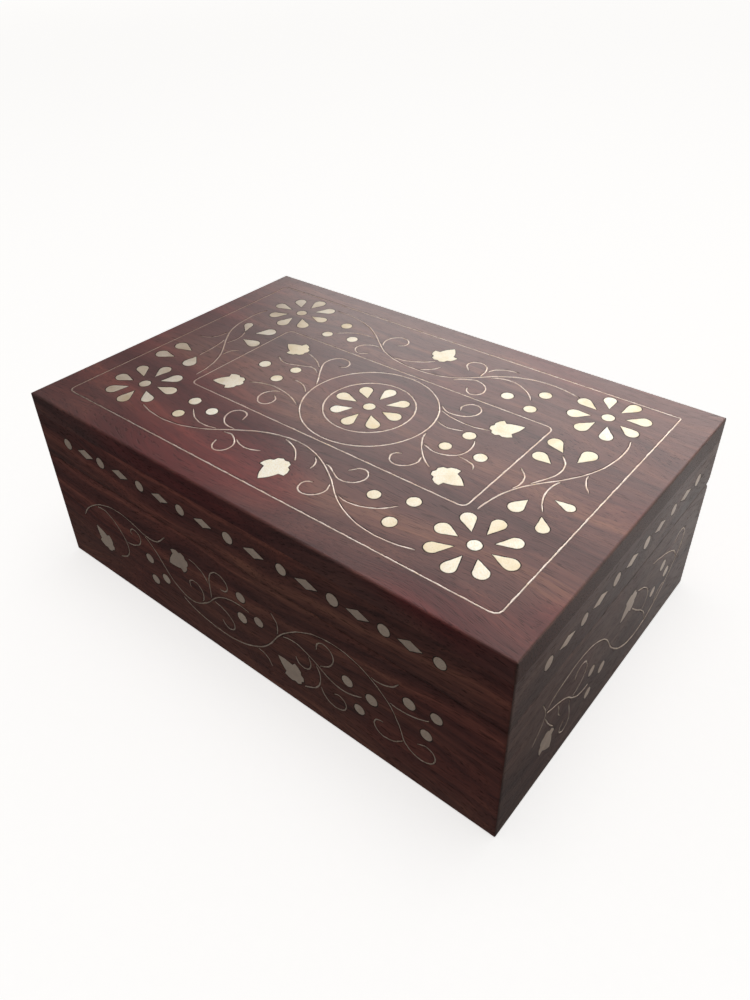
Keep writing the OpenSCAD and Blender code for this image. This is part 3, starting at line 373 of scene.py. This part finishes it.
def made(name, chunks, material, body, stands_for=()):
    """One mesh object from chunks. A chunk is its points, its lists of faces, how worn each of its points
    is, and a number from 0 to 1 of its own, which sets its shade apart from its neighbours'."""
    points = np.concatenate([c[0] for c in chunks])
    starts = np.cumsum([0] + [len(c[0]) for c in chunks[:-1]])
    faces = [f for start, c in zip(starts, chunks) for part in c[1] for f in (part + start).tolist()]
    mesh = bpy.data.meshes.new(name)
    mesh.from_pydata(points.tolist(), [], faces)
    mesh.polygons.foreach_set("use_smooth", np.ones(len(mesh.polygons), bool))
    mesh.set_sharp_from_angle(angle=math.radians(38))
    for key, place in (("worn", 2), ("own", 3)):
        values = np.concatenate([np.broadcast_to(c[place], len(c[0])) for c in chunks])
        mesh.attributes.new(key, "FLOAT", "POINT").data.foreach_set("value", values.astype(np.float32))
    mesh.materials.append(material)
    piece = bpy.data.objects.new(name, mesh)
    bpy.context.scene.collection.objects.link(piece)
    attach(piece, body)
    if stands_for:
        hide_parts(*stands_for)
    return piece


def plate(outline, out, seed):
    """A bone plate: its outline, filed a little unevenly, carried in to its middle along a profile that
    is upright at the side, eased at the edge and almost flat on the face. A point moves in by the profile's
    inset times the root of its share of the longest reach from the middle. The underside is closed."""
    line = walked(outline, 0.35e-3)
    middle = line.mean(axis=0)
    around = np.arange(len(line)) / len(line)
    line = line - sideways(line, out) * (0.02e-3 + 0.03e-3 * ripple(around, seed, (2, 5, 9)))[:, None]
    reach = np.linalg.norm(line - middle, axis=1)
    tip = reach.max()
    # how far in from the outline, how far above the wood, and how worn and stained
    profile = [(0.05e-3, -0.5e-3, 1.0), (0.0, -0.45e-3, 1.0), (0.0, -0.05e-3, 1.0),
               (0.018e-3, -0.015e-3, 0.9), (0.06e-3, 0.004e-3, 0.6), (0.16e-3, 0.012e-3, 0.25),
               (0.45e-3, 0.018e-3, 0.0)]
    rings = [middle + (line - middle) * (1 - inset / tip * (tip / reach) ** 0.5)[:, None] + out * up
             for inset, up, _ in profile]
    points = np.concatenate([*rings, [middle + out * 0.02e-3, middle - out * 0.5e-3]])
    count, rows = len(line), len(profile)
    ring = np.arange(count)
    top = np.stack([ring, np.roll(ring, -1), np.full(count, rows * count)], axis=1)
    top[:, :2] += (rows - 1) * count
    under = np.stack([np.roll(ring, -1), ring, np.full(count, rows * count + 1)], axis=1)
    worn = np.concatenate([np.repeat([wear for _, _, wear in profile], count), [0.0, 1.0]])
    own = np.random.default_rng(seed).uniform()
    return points, [grid_faces(rows, count, False), top, under], worn, own


def bone_finish(name, pale, deep, aged, left_shade_share):
    """Cream bone: fine long streaks, a few grey marrow flecks, and a brown stain where the filler met it.
    Towards the left end it is painted darker, as painted shade."""
    f = Finish(name)
    here = f.place()
    own = f.node("Attribute", {"attribute_name": "own"}, output="Fac")
    worn = f.node("Attribute", {"attribute_name": "worn"}, output="Fac")
    askew = {"Vector": here, "Rotation": (0.5, 0.4, 0.9)}
    turned = f.node("VectorRotate", {"rotation_type": "EULER_XYZ"}, askew)
    streaks = f.noise(f.vector("MULTIPLY", turned, (0.5, 3.0, 3.0)), 1.0, 3.0)
    cloud = f.noise(here, 0.22, 3.0)
    bone = f.mixed(streaks.ramp(0.3, 0.75), pale, deep)
    bone = f.mixed(cloud.ramp(0.45, 0.75) * 0.5 + own * 0.6, bone, aged)
    flecks = f.noise(f.vector("MULTIPLY", turned, (1.2, 7.0, 7.0)), 1.0, 1.0).ramp(0.66, 0.74)
    bone = f.mixed(flecks * 0.4, bone, paint(150, 128, 98))
    bone = f.mixed(worn.ramp(0.35, 1.0) * 0.75, bone, paint(120, 92, 62))
    # painted shade: the bone darker towards the left end of the lid
    leftwards = 0.0 - f.parts(here)[0]
    left_shade = leftwards.ramp(18.0, 70.0) * (0.6 + cloud * 0.8)
    bone = f.mixed(left_shade * left_shade_share, bone, paint(142, 124, 110))
    rough = 0.34 + streaks * 0.12 + cloud * 0.1 + worn * 0.1
    values = {"Base Color": bone, "Roughness": rough, "Specular IOR Level": 0.5, "Subsurface Weight": 0.12,
              "Subsurface Radius": (0.0012, 0.0008, 0.0005), "Subsurface Scale": 0.6}
    return f.done(values, [(streaks - flecks, 0.000012)])


# two copies of one bone: the lid's painted paler, as if lit, and the walls' darker, as painted shade
LIT_LID_BONE = bone_finish("lid_bone", paint(248, 245, 235), paint(240, 230, 206), paint(224, 205, 165), 0.75)
SHADED_WALL_BONE = bone_finish("wall_bone", paint(208, 189, 172), paint(190, 169, 151), paint(172, 152, 138), 0.1)
bone_nodes = {
    "top": ["medallion_flower", "flower_back_left", "flower_back_right", "flower_front_left",
            "flower_front_right", "lid_drop_petals", "lid_leaves", "lid_berries"],
}
for side in ("front", "back", "left", "right"):
    bone_nodes[side] = [f"{side}_rim_lozenges", f"{side}_rim_dots",
                        f"{side}_wall_leaves", f"{side}_wall_berries"]
plates = {}
for side, names in bone_nodes.items():
    out = FACES[side][0]
    for node in names:
        found = outlines(node, out)
        plates[node] = (found, out)
        body = "case" if "wall" in node else "lid"
        seed = 100 * len(plates)
        chunks = [plate(line, out, seed + i) for i, line in enumerate(found)]
        made(node + "_bone", chunks, LIT_LID_BONE if side == "top" else SHADED_WALL_BONE, body, [node])

# ---- Filler ----
# Black lac mixed with wood dust, pressed hot into the gap round each bone plate and scraped off,
# which leaves a thin uneven dark line.


def bead(outline, out, seed):
    """A line of filler: a low rounded profile carried round an outline, from just under the bone's edge
    to the outer edge of the spill, which wanders."""
    line = walked(outline, 0.5e-3)
    side = sideways(line, out)
    around = np.arange(len(line)) / len(line)
    spill = 0.20e-3 + 0.06e-3 * ripple(around, seed, (1, 4, 7))
    # how far out from the outline, the share of the spill added to it, and how far above the wood
    profile = [(0.03e-3, 0.0, -0.4e-3), (0.0, 1.0, -0.004e-3), (0.0, 0.6, 0.012e-3),
               (0.02e-3, 0.0, 0.010e-3), (-0.03e-3, 0.0, -0.02e-3), (-0.05e-3, 0.0, -0.4e-3)]
    rings = [line + side * (across + share * spill)[:, None] + out * up for across, share, up in profile]
    return np.concatenate(rings), [grid_faces(len(profile), len(line), True)], 0.0, 0.0


def filler_finish():
    """Brown-black lac: matt, grainy with wood dust, worn shiny in places."""
    f = Finish("black_lac")
    here = f.place()
    dust = f.noise(here, 6.0, 3.0, 0.7)
    cloud = f.noise(here, 0.5, 2.0)
    lac = f.mixed(dust.ramp(0.35, 0.7), paint(22, 13, 11), paint(46, 27, 21))
    values = {"Base Color": lac, "Roughness": 0.45 + cloud * 0.3, "Specular IOR Level": 0.35}
    return f.done(values, [(dust, 0.00001)])


LAC = filler_finish()
for group, names in (
    ("lid", [n for n in plates if "wall" not in n]),
    ("case", [n for n in plates if "wall" in n]),
):
    chunks = [bead(line, plates[n][1], 7 * i + len(n)) for n in names for i, line in enumerate(plates[n][0])]
    made(f"{group}_bone_filler", chunks, LAC, group)

# ---- Brass wire ----
# Flat brass strip, hammered on edge into a knife-cut groove, so that only its narrow edge shows.
# It was filed and scraped level with the wood, which leaves it matt with bright nicks.


def middle_line(outline):
    """The line between the two long sides of a wire's outline. The four sharpest turns are the corners of
    its two ends; from one end to the other both sides have as many points, and pairs of them are halved."""
    ahead = unit(np.roll(outline, -1, axis=0) - outline)
    straight = np.sum(ahead * np.roll(ahead, 1, axis=0), axis=1)
    corners = np.sort(np.argsort(straight)[:4])
    first = corners[1] if corners[1] - corners[0] == 1 else corners[0]
    turned = np.roll(outline, -first, axis=0)
    half = len(outline) // 2
    left, right = turned[:half], turned[half:][::-1]
    width = np.linalg.norm(left - right, axis=1)
    return (left + right) / 2, width


def eased(points, parts):
    """A smooth curve through the points: between two of them it is the cubic that also heeds the points
    before and after."""
    a, b = points[:-1], points[1:]
    prior = np.vstack([2 * points[0] - points[1], points[:-2]])
    later = np.vstack([points[2:], 2 * points[-1] - points[-2]])
    t = (np.arange(parts) / parts)[None, :, None]
    a, b, prior, later = (v[:, None, :] for v in (a, b, prior, later))
    curve = 0.5 * (2 * a + (b - prior) * t + (2 * prior - 5 * a + 4 * b - later) * t**2
                   + (3 * a - 3 * b + later - prior) * t**3)
    return np.vstack([curve.reshape(-1, 3), points[-1:]])


WAVE = 6e-3  # the length in which a strip's wobble comes round again
TAPER = 1.2e-3  # how far from a loose end a strip starts to narrow
# The edge of a strip: a share of half its width across, millimetres more across, and millimetres up.
STRIP = np.array([(-1.0, 0.0, -0.5), (-1.0, 0.0, -0.05), (-1.0, 0.05, -0.005), (0.0, 0.0, 0.012),
                  (1.0, -0.05, -0.005), (1.0, 0.0, -0.05), (1.0, 0.0, -0.5)]) * (1.0, 1e-3, 1e-3)


def strip(line, out, wide, seed, closed):
    """Brass strip: the profile of its edge carried along a line. Its width, height and place across are
    each the plain one and a slow wobble, with waves of a few millimetres, and its loose ends taper."""
    side = sideways(line, out, closed)
    gone = np.concatenate([[0.0], np.cumsum(np.linalg.norm(np.diff(line, axis=0), axis=1))])
    length = gone[-1]
    along = gone / length * max(round(length / WAVE), 1)
    half = 0.5 * wide * (0.84 + 0.14 * ripple(along, seed, (1, 3, 7)))
    if not closed:
        ends = np.minimum(gone, length - gone)
        half = half * np.clip(0.45 + 0.55 * ends / TAPER, 0.0, 1.0)
    level = 0.006e-3 * ripple(along, seed + 1, (3, 4, 7))
    line = line + side * (0.03e-3 * ripple(along, seed + 2, (1, 2, 5)))[:, None]
    rings = [line + side * (share * half + across)[:, None] + out * (up + level)[:, None]
             for share, across, up in STRIP]
    points = np.stack(rings, axis=1).reshape(-1, 3)
    count, columns = len(line), len(STRIP)
    faces = [grid_faces(count, columns, closed)]
    if not closed:
        end = np.arange(columns)
        faces += [end[None, ::-1], (end + (count - 1) * columns)[None, :]]
    return points, faces, 0.0, np.random.default_rng(seed).uniform()


def brass_finish(name, colour, deep, rough, wear, metal=1.0, left_shade_share=0.0):
    """Brass with fine scratches, a dull brown tarnish in patches, and brighter rubbed spots. The part that
    isn't metal is the film of wax over it. Where it has a share of left shade it is painted browner towards
    the left end, as painted shade, like the bone beside it."""
    f = Finish(name)
    here = f.place()
    own = f.node("Attribute", {"attribute_name": "own"}, output="Fac")
    cloud = f.noise(here, 0.35, 4.0, 0.65)
    scratches = f.noise(f.vector("MULTIPLY", here, (9.0, 1.1, 4.0)), 1.0, 3.0, 0.7)
    nicks = f.noise(here, 1.6, 2.0).ramp(0.60, 0.68)
    brass = f.mixed(cloud.ramp(0.35, 0.7) * wear + own * 0.15, colour, deep)
    brass = f.mixed(nicks * 0.6, brass, paint(250, 226, 186))
    sunk = f.noise(here, 0.9, 2.0).ramp(0.60, 0.72)
    brass = f.mixed(sunk * 0.45 * wear, brass, paint(92, 66, 52))
    if left_shade_share:
        # painted shade: the brass browner towards the left end of the lid
        leftwards = 0.0 - f.parts(here)[0]
        left_shade = leftwards.ramp(0.0, 70.0)
        brass = f.mixed(left_shade * left_shade_share, brass, paint(124, 94, 78))
    values = {"Base Color": brass, "Metallic": metal - cloud.ramp(0.5, 0.8) * 0.3 * wear,
              "Roughness": rough + scratches * 0.2 - nicks * 0.12}
    return f.done(values, [(scratches, 0.000006), (cloud, 0.00001)])


# two copies of one brass: the lid's painted pale, as painted highlight, and the walls' darker, as painted
# shade
LIT_LID_WIRE = brass_finish("lit_lid_wire_brass", paint(252, 240, 230), paint(222, 196, 180), 0.36, 0.8, 0.6, 0.7)
SHADED_WALL_WIRE = brass_finish("shaded_wall_wire_brass", paint(212, 193, 178), paint(166, 144, 128), 0.42, 0.8, 0.5)
wire_nodes = {
    "top": ["vine_front", "vine_back", "vine_left", "vine_right", "vine_medallion_left",
            "vine_medallion_right"],
}
for side in ("front", "back", "left", "right"):
    wire_nodes[side] = [f"{side}_wall_vine"]
for side, names in wire_nodes.items():
    out, body = FACES[side]
    for node in names:
        chunks = []
        for i, outline in enumerate(outlines(node, out)):
            line, width = middle_line(outline)
            chunks.append(strip(eased(line, 4), out, np.median(width), 31 * i + len(node), False))
        made(node + "_brass", chunks, LIT_LID_WIRE if side == "top" else SHADED_WALL_WIRE, body, [node])

for node in ("outer_border_wire", "inner_border_wire", "medallion_outer_ring", "medallion_inner_ring"):
    out, body = FACES["top"]
    outer, inner = sorted(outlines(node, out), key=lambda o: -np.ptp(o[:, 0]))
    wide = (np.ptp(outer[:, 0]) - np.ptp(inner[:, 0])) / 2
    outer = walked(outer, 0.5e-3)
    line = outer - sideways(outer, out) * wide / 2
    made(node + "_brass", [strip(line, out, wide, len(node), True)], LIT_LID_WIRE, body, [node])

# ---- Velvet linings ----
# Cards covered in dark red cotton velvet, its edges turned under, glued to the base, to the four walls
# and under the lid.


def velvet_finish():
    """Cut-pile velvet: dark where the pile stands, paler where it was brushed over, and softly bright when
    seen along its face."""
    f = Finish("red_velvet")
    here = f.place()
    pile = f.noise(here, 7.0, 2.0, 0.7)
    brushed = f.noise(here, 0.11, 3.0, 0.6)
    velvet = f.mixed(brushed.ramp(0.35, 0.68), paint(92, 13, 27), paint(116, 22, 37))
    velvet = f.mixed(pile.ramp(0.3, 0.75) * 0.5, velvet, paint(50, 6, 14))
    values = {"Base Color": velvet, "Roughness": 0.9, "Specular IOR Level": 0.15, "Sheen Weight": 0.8,
              "Sheen Roughness": 0.35, "Sheen Tint": paint(220, 120, 130)}
    return f.done(values, [(pile, 0.00012), (brushed, 0.0003)])


def card(box, thin, seed):
    """A velvet-covered card: two sheets over a square grid that meet in a rounded edge. The height is the
    half thickness times the root of one less the square of how far a point is into the rounded edge,
    with slow waves where the cloth isn't quite tight."""
    lowest, highest = (np.array(c) for c in box)
    wide = [i for i in range(3) if i != thin]
    half = (highest - lowest) / 2
    centre = (highest + lowest) / 2
    counts = [int(np.clip(half[i] / 0.8e-3, 10, 90)) for i in wide]
    edge = half[thin] * 0.9
    sides = []
    for i, n in zip(wide, counts):
        inner = np.linspace(-1, 1, n) * (half[i] - edge)
        bow = half[i] - edge * (1 - np.sin(np.linspace(0, math.pi / 2, 6)[1:]))
        sides.append(np.concatenate([-bow[::-1], inner, bow]))
    u, v = np.meshgrid(*sides, indexing="ij")
    past_u, past_v = np.abs(u) - half[wide[0]] + edge, np.abs(v) - half[wide[1]] + edge
    into = np.maximum(np.maximum(past_u, past_v) / edge, 0)
    height = np.sqrt(np.clip(1 - into**2, 0, 1))
    wave = 0.05 * ripple(u / 0.06, seed, (0.7, 1.3, 2.1)) * ripple(v / 0.05, seed + 1, (0.6, 1.1, 1.9))
    sheets = []
    for way in (1, -1):
        points = np.zeros((*u.shape, 3))
        points[..., wide[0]] = u
        points[..., wide[1]] = v
        points[..., thin] = way * half[thin] * height * (1 - np.abs(wave))
        sheets.append((points + centre).reshape(-1, 3))
    rows, columns = u.shape
    row, column = np.meshgrid(np.arange(rows - 1), np.arange(columns - 1), indexing="ij")
    base = (row * columns + column).ravel()
    face = np.stack([base, base + columns, base + columns + 1, base + 1], axis=1)
    if np.cross(AXES[wide[0]], AXES[wide[1]])[thin] < 0:
        face = face[:, ::-1]
    return np.concatenate(sheets), [face, face[:, ::-1] + rows * columns], 0.0, 0.0


VELVET = velvet_finish()


def lining(name, boxes, body):
    """Velvet cards in the places of a lining node, with the two sheets of each sewn together at the edge."""
    piece = made(name + "_velvet", [card(box, thin, 5 * i) for i, (box, thin) in enumerate(boxes)],
                 VELVET, body, [name])
    weld = piece.modifiers.new("edge", "WELD")
    weld.merge_threshold = 1e-6
    return piece


lining("base_lining", [(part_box("base_lining"), 2)], "case")
lining("lid_lining", [(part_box("lid_lining"), 2)], "lid")
(x0, y0, z0), (x1, y1, z1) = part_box("wall_lining")
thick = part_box("base_lining")[1].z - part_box("base_lining")[0].z
gap = 0.2e-3
# the cards of the ends stand between those of the long walls
lining("wall_lining", [
    (((x0, y0, z0), (x1, y0 + thick, z1)), 1),
    (((x0, y1 - thick, z0), (x1, y1, z1)), 1),
    (((x0, y0 + thick + gap, z0), (x0 + thick, y1 - thick - gap, z1)), 0),
    (((x1 - thick, y0 + thick + gap, z0), (x1, y1 - thick - gap, z1)), 0),
], "case")

# ---- Hinges ----
# Two small butt hinges of pressed brass, their leaves let into the seam at the back and held by
# countersunk slotted brass screws. The knuckles of both leaves turn on a pin.

HINGE = brass_finish("hinge_brass", paint(214, 172, 102), paint(140, 100, 52), 0.28, 0.6)
for node in ("left_hinge_case_leaf", "left_hinge_lid_leaf", "left_hinge_pin", "right_hinge_case_leaf",
             "right_hinge_lid_leaf", "right_hinge_pin", "hinge_screws_case", "hinge_screws_lid"):
    covered(node, HINGE)

# ---- Studio ----
# A pale paper floor in a pale room. A large soft light stands behind the box and a softer one overhead.
# A small one hangs over the right end, a dim one lights the front, and one low on the right is the glow
# of the table.


def paper_finish():
    """White paper that glows a little, and more with the distance, so that it is pale to the horizon."""
    f = Finish("floor_paper")
    tooth = f.noise(f.place(), 0.4, 3.0)
    paper = f.mixed(tooth, paint(244, 244, 244), paint(250, 250, 249))
    far = f.vector("LENGTH", f.place(), output=1).ramp(300.0, 3500.0)
    glow = f.mixed(far, paint(218, 217, 216), paint(250, 249, 247))
    return f.done({"Base Color": paper, "Roughness": 0.95, "Specular IOR Level": 0.1,
                   "Emission Color": glow, "Emission Strength": 1.0})


# the floor is a disc of many sides, in metres
REACH = 6.0
SIDES = 96
turns = np.linspace(0, 2 * math.pi, SIDES + 1)[:-1]
floor_mesh = bpy.data.meshes.new("floor")
rim = np.stack([REACH * np.cos(turns), REACH * np.sin(turns), np.full(SIDES, -0.2e-3)], axis=1)
floor_mesh.from_pydata(rim.tolist(), [], [list(range(SIDES))])
floor_mesh.materials.append(paper_finish())
floor = bpy.data.objects.new("floor", floor_mesh)
bpy.context.scene.collection.objects.link(floor)
floor.visible_diffuse = False
floor.visible_glossy = False

# The room is dim where it lights the box and pale where the camera sees it.
room = Finish("room", is_room=True)
dim = room.node("Background", sockets={"Color": (1.0, 0.985, 0.97, 1.0), "Strength": 0.16})
pale = room.node("Background", sockets={"Color": (1.0, 0.995, 0.985, 1.0), "Strength": 0.95})
seen = room.node("LightPath", output="Is Camera Ray")
either = room.node("MixShader", sockets={0: seen, 1: dim, 2: pale})
room.node("OutputWorld", sockets={"Surface": either})
bpy.context.scene.world = room.block


def soft_light(name, place, aim, size, power, colour):
    """A soft light of a width and height in metres, at a place, turned to face the aim."""
    data = bpy.data.lights.new(name, "AREA")
    data.shape = "RECTANGLE"
    data.size, data.size_y = size
    data.energy = power
    data.color = colour
    lamp = bpy.data.objects.new(name, data)
    bpy.context.scene.collection.objects.link(lamp)
    lamp.location = place
    lamp.rotation_mode = "QUATERNION"
    lamp.rotation_quaternion = (Vector(place) - Vector(aim)).to_track_quat("Z", "Y")
    lamp.visible_camera = False
    return lamp


unlit = bpy.data.collections.new("not_lit_by_the_box_lights")
unlit.objects.link(floor)
MIDDLE = (0.0, 0.0, 0.03)
WARM = (1.0, 0.985, 0.96)
# name, place, aim, width and height, watts, colour, and whether the box reflects it
for name, place, aim, size, power, colour, shines in (
    ("back_light", (-0.30, 1.25, 0.68), MIDDLE, (1.7, 0.6), 11.0, (1.0, 0.95, 0.93), True),
    ("near_light", (0.125, 0.055, 0.235), MIDDLE, (0.12, 0.12), 0.36, WARM, False),
    ("front_light", (-0.75, -0.90, 0.25), MIDDLE, (0.8, 0.5), 1.9, WARM, False),
    ("table_glow", (0.24, 0.21, 0.004), (0.12, 0.12, 0.2), (0.22, 0.34), 0.25, WARM, True),
):
    lamp = soft_light(name, place, aim, size, power, colour)
    lamp.visible_glossy = shines
    lamp.light_linking.receiver_collection = unlit
unlit.collection_objects[0].light_linking.link_state = "EXCLUDE"
soft_light("top_light", (0.1, 0.1, 1.6), (0.0, 0.0, 0.0), (1.0, 1.0), 4.8, (1.0, 0.99, 0.98))

# ---- Camera ----
# It stands to the right and in front, close to the box, and looks down on its lid. Its distance and the
# point it looks at are given in lengths of the box.

length = (high[0] - low[0]) / 1000
around, above, roll = (math.radians(a) for a in (40.59, 36.32, -1.74))
back = np.array([math.sin(around) * math.cos(above), -math.cos(around) * math.cos(above), math.sin(above)])
target = length * np.array([-0.1955, 0.2234, 0.0])
right = unit(np.cross(-back, AXES[2]))
up = np.cross(right, -back)
tilted_right = right * math.cos(roll) + up * math.sin(roll)
tilted_up = -right * math.sin(roll) + up * math.cos(roll)
eye = bpy.data.cameras.new("camera")
eye.sensor_width = 36.0
eye.lens = 29.22
eye.shift_x = 0.0113
eye.shift_y = -0.0247
eye.clip_start = 0.01
camera = bpy.data.objects.new("camera", eye)
bpy.context.scene.collection.objects.link(camera)
stand = np.eye(4)
stand[:3] = np.stack([tilted_right, tilted_up, back, target + back * 1.8443 * length], axis=1)
camera.matrix_world = Matrix(stand.tolist())
bpy.context.scene.camera = camera
bpy.context.scene.view_settings.view_transform = "Standard"
